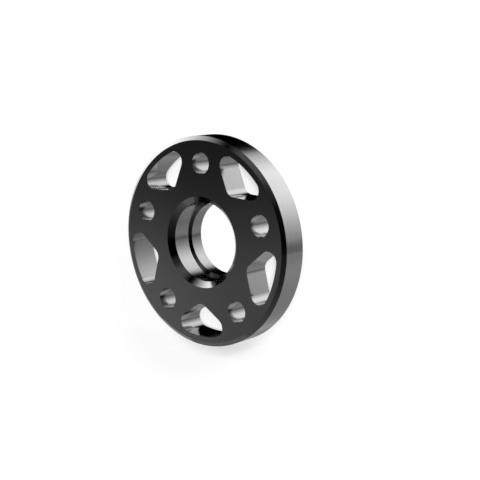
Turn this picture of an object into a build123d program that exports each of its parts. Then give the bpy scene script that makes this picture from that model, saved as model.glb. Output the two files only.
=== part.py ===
"""Wheel spacer: one aluminium ring, turned all over and then drilled and milled through.

It clamps between a wheel hub and a wheel. The hub enters the bore from the top, and the
wheel centres on the lip below. The axis of the ring is +Z, and the part lies on the end of
its lip at z = 0, with the hub side up. A bolt hole lies on +Y. Lengths are in millimetres
and angles in degrees.
"""

import os

from build123d import *

# Disc between the two clamping faces
disc_diameter = 150.0
disc_thickness = 20.0
rim_chamfer_radial = 2.9
rim_chamfer_axial = 2.1
rim_edge_break = 0.3

# Bore and lip that centre the spacer on the hub and the wheel on the spacer
centring_diameter = 57.1
mouth_chamfer = 4.0
hub_bore_depth = 17.6
lip_clearance = 0.1
lip_length = 10.0
lip_wall = 2.0
lip_lead_radial = 0.8
lip_lead_axial = 1.6
lip_end_chamfer = 0.5
lip_root_radius = 0.5

# Bolt holes
bolt_count = 5
bolt_circle_diameter = 112.0
bolt_hole_diameter = 15.5
first_bolt_angle = 90.0

# Lightening pockets, one midway between each two bolt holes
rim_wall = 7.0
hub_wall = 12.0
pocket_corner_radius = 7.0
pocket_corner_angle = 12.0

# Sizes that follow
disc_radius = disc_diameter / 2
bore_radius = centring_diameter / 2
mouth_radius = bore_radius + mouth_chamfer
lip_radius = bore_radius - lip_clearance / 2
lip_bore_radius = lip_radius - lip_wall
bore_step = bore_radius - lip_bore_radius
wheel_face_z = lip_length
hub_face_z = lip_length + disc_thickness
bore_floor_z = hub_face_z - hub_bore_depth


def turned_ring():
    """The ring as it leaves the lathe: half of its section, turned about Z.

    The bore steps down to the lip's bore by a cone of 45 degrees.
    """
    section = Polyline(
        (lip_bore_radius + lip_end_chamfer, 0),
        (lip_bore_radius, lip_end_chamfer),
        (lip_bore_radius, bore_floor_z - bore_step),
        (bore_radius, bore_floor_z),
        (bore_radius, hub_face_z - mouth_chamfer),
        (mouth_radius, hub_face_z),
        (disc_radius - rim_chamfer_radial, hub_face_z),
        (disc_radius, hub_face_z - rim_chamfer_axial),
        (disc_radius, wheel_face_z + rim_edge_break),
        (disc_radius - rim_edge_break, wheel_face_z),
        (lip_radius, wheel_face_z),
        (lip_radius, lip_lead_axial),
        (lip_radius - lip_lead_radial, 0),
        close=True,
    )
    half = make_face(Plane.XZ * section)
    ring = revolve(half, Axis.Z)
    root = ring.edges().filter_by(GeomType.CIRCLE).filter_by_position(Axis.Z, wheel_face_z, wheel_face_z)
    return fillet(root.sort_by(SortBy.RADIUS)[0], lip_root_radius)


def pocket_outline():
    """The outline of the pocket that lies on +X.

    The cutter's centre keeps inside two straight sides and an arc about the ring's axis.
    Its radius, added all round, gives the rounded corners and the walls.
    """
    cutter_inner = mouth_radius + hub_wall + pocket_corner_radius
    cutter_outer = disc_radius - rim_wall - pocket_corner_radius
    tip = Vector(cutter_inner, 0)
    corner = Vector(cutter_outer, 0).rotate(Axis.Z, pocket_corner_angle)
    other_corner = Vector(cutter_outer, 0).rotate(Axis.Z, -pocket_corner_angle)
    cutter_path = [
        Line(tip, other_corner),
        ThreePointArc(other_corner, (cutter_outer, 0), corner),
        Line(corner, tip),
    ]
    return offset(make_face(cutter_path), pocket_corner_radius)


def through_disc(outline):
    """A cutter of the given outline that passes through both faces of the disc."""
    return extrude(Plane.XY.offset(wheel_face_z) * outline, disc_thickness)


def around_axis(cutter, first_angle):
    """Copies of a cutter, as many as there are bolts, evenly spaced about the axis."""
    pitch = 360 / bolt_count
    return [Rotation(0, 0, first_angle + n * pitch) * cutter for n in range(bolt_count)]


def wheel_spacer():
    """The whole part: the turned ring less its bolt holes and pockets."""
    bolt_hole = through_disc(Pos(bolt_circle_diameter / 2, 0) * Circle(bolt_hole_diameter / 2))
    pocket = through_disc(pocket_outline())
    first_pocket_angle = first_bolt_angle + 180 / bolt_count
    cutters = around_axis(bolt_hole, first_bolt_angle) + around_axis(pocket, first_pocket_angle)
    return turned_ring() - cutters


os.makedirs("parts", exist_ok=True)
export_step(wheel_spacer(), "parts/spacer_ring.step")
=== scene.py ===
"""The looks of the wheel spacer: its black anodised finish, the studio round it and the camera.

Everything is in metres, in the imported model's frame. The spacer lies on the end of its lip on the
floor, z = 0, with its axis on +Z, and its top bolt hole lies on +Y. The camera looks down on it and
is turned so that +Y is up in the picture.
"""

import math

import bpy
from mathutils import Matrix, Vector

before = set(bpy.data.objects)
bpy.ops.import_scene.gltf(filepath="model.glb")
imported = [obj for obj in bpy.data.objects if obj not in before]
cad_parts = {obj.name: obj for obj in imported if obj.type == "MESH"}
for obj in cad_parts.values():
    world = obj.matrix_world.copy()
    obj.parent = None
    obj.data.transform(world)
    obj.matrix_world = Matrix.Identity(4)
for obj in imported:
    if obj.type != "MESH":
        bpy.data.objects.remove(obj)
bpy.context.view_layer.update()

AXIS = Vector((0, 0, 1))
PICTURE_UP = Vector((0, 1, 0))


# Shader maths


class Value:
    """A number or vector inside a shader. Arithmetic on it adds Math nodes."""

    def __init__(self, shader, socket):
        self.shader = shader
        self.socket = socket

    def __add__(self, other):
        return self.shader.maths("ADD", self, other)

    def __radd__(self, other):
        return self.shader.maths("ADD", other, self)

    def __sub__(self, other):
        return self.shader.maths("SUBTRACT", self, other)

    def __rsub__(self, other):
        return self.shader.maths("SUBTRACT", other, self)

    def __mul__(self, other):
        return self.shader.maths("MULTIPLY", self, other)

    def __rmul__(self, other):
        return self.shader.maths("MULTIPLY", other, self)

    def __truediv__(self, other):
        return self.shader.maths("DIVIDE", self, other)

    def __rtruediv__(self, other):
        return self.shader.maths("DIVIDE", other, self)

    def __abs__(self):
        return self.shader.maths("ABSOLUTE", self)


class Shader:
    """The node tree of a material or of the world."""

    def __init__(self, owner):
        owner.use_nodes = True
        self.tree = owner.node_tree
        self.tree.nodes.clear()

    def node(self, kind, settings=None, inputs=None):
        """A new node. Its settings are set first, and then its inputs take values or links."""
        made = self.tree.nodes.new(kind)
        for name, value in (settings or {}).items():
            setattr(made, name, value)
        for name, value in (inputs or {}).items():
            if isinstance(value, Value):
                self.tree.links.new(value.socket, made.inputs[name])
            else:
                made.inputs[name].default_value = value
        return made

    def value(self, kind, settings=None, inputs=None, output=0):
        """One output of a new node."""
        return Value(self, self.node(kind, settings, inputs).outputs[output])

    def maths(self, operation, *operands):
        """The result of a Math node."""
        return self.value("ShaderNodeMath", {"operation": operation}, dict(enumerate(operands)))

    def vector_maths(self, operation, *operands, output="Vector"):
        """The result of a Vector Math node."""
        inputs = dict(enumerate(operands))
        return self.value("ShaderNodeVectorMath", {"operation": operation}, inputs, output)

    def dot(self, vector, constant):
        """How far a vector reaches along a constant one."""
        return self.vector_maths("DOT_PRODUCT", vector, constant, output="Value")

    def off_axis(self, place):
        """How far a place is from the spacer's axis."""
        return self.vector_maths("LENGTH", self.vector_maths("MULTIPLY", place, (1, 1, 0)), output="Value")

    def hypotenuse(self, across, along):
        """The distance that is made up of one across and one along."""
        return self.maths("POWER", across * across + along * along, 0.5)

    def smooth(self, value, start, end, low=0.0, high=1.0):
        """Goes smoothly from low to high as the value goes from start to end."""
        return self.value(
            "ShaderNodeMapRange",
            {"interpolation_type": "SMOOTHSTEP"},
            {"Value": value, "From Min": start, "From Max": end, "To Min": low, "To Max": high},
        )


# Studio

# Where each oval softbox stands, seen from the spacer. Turn is the angle from +Z towards +X and rise
# the angle towards +Y. Wide and tall are half of its size. All four are in degrees. Fade is the share
# of it that its soft edge takes.
SOFTBOXES = {
    "back": dict(turn=162.9, rise=23.3, wide=36.8, tall=47.9, fade=1, level=9.22),
    "back_top": dict(turn=-178.5, rise=26.8, wide=18.1, tall=23.8, fade=0.35, level=2.59),
    "left": dict(turn=-89.5, rise=27.7, wide=43.2, tall=54.3, fade=1, level=10.74),
    "front": dict(turn=2.9, rise=47.6, wide=27, tall=18.3, fade=0.64, level=0.78),
    "left_card": dict(turn=-63.7, rise=-33.5, wide=25, tall=53.5, fade=0.2, level=0.4),
    "left_fill": dict(turn=-98.8, rise=-5.8, wide=48.1, tall=30.6, fade=0.53, level=0.2),
    "right_card": dict(turn=132, rise=6.4, wide=77.1, tall=75.6, fade=1, level=1.54),
    "back_card": dict(turn=-146.9, rise=-44.8, wide=72, tall=12.3, fade=0.2, level=0.88),
    "front_strip": dict(turn=18.8, rise=-1.3, wide=15.8, tall=43.8, fade=0.22, level=0.05),
    "right_fill": dict(turn=72, rise=42.3, wide=114.7, tall=16.2, fade=0.77, level=0.21),
}

# The pale sweep below the spacer grows to its level from its first rise down to its second. The shaded
# side is an oval part of it, darker by the share that its level gives. The horizon is a dark line
# round the whole studio. Its middle and its half width are in degrees of rise.
SWEEP_START, SWEEP_END, SWEEP_LEVEL = -0.2, -12.6, 0.62
SHADED_SIDE = dict(turn=42.8, rise=10.2, wide=41.1, tall=119.9, fade=0.83, level=0.89)
HORIZON, HORIZON_HALF_WIDTH, HORIZON_DEPTH = -6.78, 6.06, 0.54

# What a reflection shows that comes by way of a second wall: a plain level with a gap, darker by the
# share that its own level gives, and a softbox. A reflection's depth is the number of walls on its
# way, and the limit lies between one and two.
INNER_DEPTH = 1.5
INNER_LEVEL = 3.8
INNER_GAP = dict(turn=-158.9, rise=23.5, wide=29.7, tall=57.5, fade=0.3, level=0.96)
INNER_SOFTBOX = dict(turn=160.4, rise=16, wide=40.4, tall=57.6, fade=0.67, level=30)

# Keeps the middle of a softbox from a division by zero
SMALLEST_OFFSET = 1e-6

# The light of the room on what isn't a mirror
ROOM_LEVEL = 0.125

# The floor, and the little that it glows for the camera
FLOOR_HALF_WIDTH = 4.0
FLOOR_COLOUR = (0.8, 0.8, 0.8, 1)
FLOOR_GLOW = 0.025

# Painted light: how much of the lit floor, with its shadow, shows, the rest being white painted over
# that shadow: all of it below a line under the rim that climbs towards +X by the slope, a share of it
# above that line, and none of it inside the lip.
SHADE_LINE_TOP, SHADE_LINE_BOTTOM, SHADE_LINE_SLOPE = -0.066, -0.084, 0.1135
SHADE_ABOVE_LINE = 0.4
LIP_INSIDE, LIP_OUTSIDE = 0.0265, 0.0285

# The lamps that light the floor, seen from the spacer. Bearing is the angle from +X towards +Y,
# height the angle above the floor and spread the width of the lamp, all in degrees.
FLOOR_LAMPS = {
    "front": dict(bearing=15.4, height=48.8, spread=6, strength=2.92),
    "key": dict(bearing=38.7, height=49.4, spread=13.6, strength=1.14),
    "side": dict(bearing=41.6, height=14, spread=29.5, strength=1.74),
    "fill": dict(bearing=127.4, height=55.4, spread=15.7, strength=0.24),
}


def direction(turn, rise):
    """The unit vector at a turn from +Z towards +X and a rise towards +Y."""
    turn, rise = math.radians(turn), math.radians(rise)
    return Vector((math.cos(rise) * math.sin(turn), math.sin(rise), math.cos(rise) * math.cos(turn)))


def softbox_light(shader, looking, turn, rise, wide, tall, fade, level):
    """The light of a softbox in the direction looked in: its level inside, and none outside."""
    middle = direction(turn, rise)
    across = PICTURE_UP.cross(middle).normalized()
    along = middle.cross(across)
    sideways = shader.dot(looking, across)
    upwards = shader.dot(looking, along)
    off_centre = shader.maths("MAXIMUM", shader.hypotenuse(sideways, upwards), SMALLEST_OFFSET)
    angle = shader.maths("ARCTAN2", off_centre, shader.dot(looking, middle))
    share_wide = sideways / (off_centre * math.radians(wide))
    share_tall = upwards / (off_centre * math.radians(tall))
    reach = angle * shader.hypotenuse(share_wide, share_tall)
    return shader.smooth(reach, 1, 1 - fade, 0, level)


def studio_light(shader, looking):
    """What the metal reflects: softboxes, a pale sweep below and the dark line of the horizon."""
    rise = shader.maths("ARCSINE", shader.dot(looking, PICTURE_UP)) * math.degrees(1)
    sweep = shader.smooth(rise, SWEEP_START, SWEEP_END, 0, SWEEP_LEVEL)
    light = sweep * (1 - softbox_light(shader, looking, **SHADED_SIDE))
    for softbox in SOFTBOXES.values():
        light = light + softbox_light(shader, looking, **softbox)
    from_horizon = abs(rise - HORIZON)
    return light * shader.smooth(from_horizon, 0, HORIZON_HALF_WIDTH, 1 - HORIZON_DEPTH, 1)


def inner_light(shader, looking):
    """What the metal reflects inside the holes and pockets, where one wall mirrors another."""
    light = INNER_LEVEL * (1 - softbox_light(shader, looking, **INNER_GAP))
    return light + softbox_light(shader, looking, **INNER_SOFTBOX)


def make_world():
    """White behind the object, the studio in its reflections, and a plain level for the rest."""
    world = bpy.data.worlds.new("studio")
    bpy.context.scene.world = world
    shader = Shader(world)
    path = shader.node("ShaderNodeLightPath")
    seen = Value(shader, path.outputs["Is Camera Ray"])
    mirrored = Value(shader, path.outputs["Is Glossy Ray"])
    inner = shader.maths("GREATER_THAN", Value(shader, path.outputs["Glossy Depth"]), INNER_DEPTH)
    looking = shader.value("ShaderNodeTexCoord", output="Generated")
    light = (1 - inner) * studio_light(shader, looking) + inner * inner_light(shader, looking)
    strength = seen + mirrored * light + (1 - seen - mirrored) * ROOM_LEVEL
    background = shader.value("ShaderNodeBackground", inputs={"Color": (1, 1, 1, 1), "Strength": strength})
    shader.node("ShaderNodeOutputWorld", inputs={"Surface": background})


def floor_finish():
    """Pale and matt, so that it takes the spacer's shadow, and painted white over that shadow where none
    should show.
    """
    material = bpy.data.materials.new("white_floor")
    shader = Shader(material)
    seen = shader.value("ShaderNodeLightPath", output="Is Camera Ray")
    place = shader.value("ShaderNodeTexCoord", output="Object")
    matt = shader.value("ShaderNodeBsdfDiffuse", inputs={"Color": FLOOR_COLOUR})
    glow = shader.value("ShaderNodeEmission", inputs={"Strength": seen * FLOOR_GLOW})
    lit = shader.value("ShaderNodeAddShader", inputs={0: matt, 1: glow})
    white = shader.value("ShaderNodeEmission", inputs={"Strength": seen})
    # Painted light: above the line and inside the lip, white is painted over the floor's shadow.
    above_line = shader.dot(place, (-SHADE_LINE_SLOPE, 1, 0))
    shade = shader.smooth(above_line, SHADE_LINE_TOP, SHADE_LINE_BOTTOM, SHADE_ABOVE_LINE, 1)
    shade = shade * shader.smooth(shader.off_axis(place), LIP_INSIDE, LIP_OUTSIDE)
    both = shader.value("ShaderNodeMixShader", inputs={0: shade, 1: white, 2: lit})
    shader.node("ShaderNodeOutputMaterial", inputs={"Surface": both})
    return material


def make_floor():
    """The floor that the spacer lies on. The metal reflects the studio in its place."""
    w = FLOOR_HALF_WIDTH
    mesh = bpy.data.meshes.new("floor")
    mesh.from_pydata([(-w, -w, 0), (w, -w, 0), (w, w, 0), (-w, w, 0)], [], [(0, 1, 2, 3)])
    mesh.materials.append(floor_finish())
    floor = bpy.data.objects.new("floor", mesh)
    bpy.context.collection.objects.link(floor)
    floor.visible_glossy = False


def make_floor_lamp(name, bearing, height, spread, strength):
    """A lamp that gives the floor some of its soft shadow. The metal doesn't mirror it."""
    lamp = bpy.data.lights.new(name, "SUN")
    lamp.energy = strength
    lamp.angle = math.radians(spread)
    lit_from = bpy.data.objects.new(name, lamp)
    lit_from.rotation_euler = (0, math.radians(90 - height), math.radians(bearing))
    lit_from.visible_glossy = False
    bpy.context.collection.objects.link(lit_from)


# Camera

CAMERA_PLACE = Vector((0.5268, 0.1406, 0.6126))
CAMERA_AIM = Vector((0.0209, 0.0017, 0.0120))
LENS = 84.85
SENSOR_WIDTH = 36.0


def make_camera():
    """The camera of the photograph."""
    forward = (CAMERA_AIM - CAMERA_PLACE).normalized()
    right = forward.cross(PICTURE_UP).normalized()
    turned = Matrix((right, right.cross(forward), -forward)).transposed().to_4x4()
    lens = bpy.data.cameras.new("camera")
    lens.lens = LENS
    lens.sensor_width = SENSOR_WIDTH
    camera = bpy.data.objects.new("camera", lens)
    camera.matrix_world = Matrix.Translation(CAMERA_PLACE) @ turned
    bpy.context.collection.objects.link(camera)
    bpy.context.scene.camera = camera


# Finish

# What the metal reflects head-on, how far the marks vary that on the round walls, and what share of a
# clear mirror's light it reflects at a low angle
METAL_GREY = 0.08
GREY_OF_MARKS = 0.5
EDGE_TINT = (0.7, 0.7, 0.7, 1)

# How blurred the mirror is on the round walls and on the faces, and how much the marks add
WALL_ROUGHNESS, FACE_ROUGHNESS = 0.13, 0.07
ROUGHNESS_OF_MARKS = 0.04

# The marks are a noise that varies only across them, its coarsest lines 1500 to the metre
MARKS_SCALE = 1500
MARKS_DETAIL = 3
MARKS_MEAN = 0.5
MARKS_STRENGTH, MARKS_HEIGHT = 0.2, 2e-6


def black_anodised():
    """Turned aluminium, anodised black: a dark mirror with the tool's fine marks across it.

    The marks run round the axis, so they follow each other outwards on the faces and upwards on the
    round walls. On the walls the grey varies a little with them too.
    """
    material = bpy.data.materials.new("black_anodised")
    shader = Shader(material)
    place = shader.value("ShaderNodeTexCoord", output="Object")
    facing = shader.value("ShaderNodeTexCoord", output="Normal")
    flat = abs(shader.dot(facing, AXIS))
    across_marks = shader.off_axis(place) * flat + shader.dot(place, AXIS) * (1 - flat)
    marks = shader.value(
        "ShaderNodeTexNoise",
        {"noise_dimensions": "1D"},
        {"W": across_marks, "Scale": MARKS_SCALE, "Detail": MARKS_DETAIL},
    )
    streaks = GREY_OF_MARKS * (1 - flat) * (marks - MARKS_MEAN)
    roughness = WALL_ROUGHNESS - (WALL_ROUGHNESS - FACE_ROUGHNESS) * flat + ROUGHNESS_OF_MARKS * marks
    bump = shader.value(
        "ShaderNodeBump",
        inputs={"Strength": MARKS_STRENGTH, "Distance": MARKS_HEIGHT, "Height": marks},
    )
    metal = shader.value(
        "ShaderNodeBsdfPrincipled",
        inputs={
            "Base Color": METAL_GREY * (1 + streaks),
            "Specular Tint": EDGE_TINT,
            "Metallic": 1.0,
            "Roughness": roughness,
            "Normal": bump,
        },
    )
    shader.node("ShaderNodeOutputMaterial", inputs={"Surface": metal})
    return material


make_camera()
make_world()
make_floor()
for name, lamp in FLOOR_LAMPS.items():
    make_floor_lamp(name, **lamp)

finish = black_anodised()
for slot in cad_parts["spacer_ring"].material_slots:
    slot.material = finish

bpy.context.scene.view_settings.view_transform = "Standard"
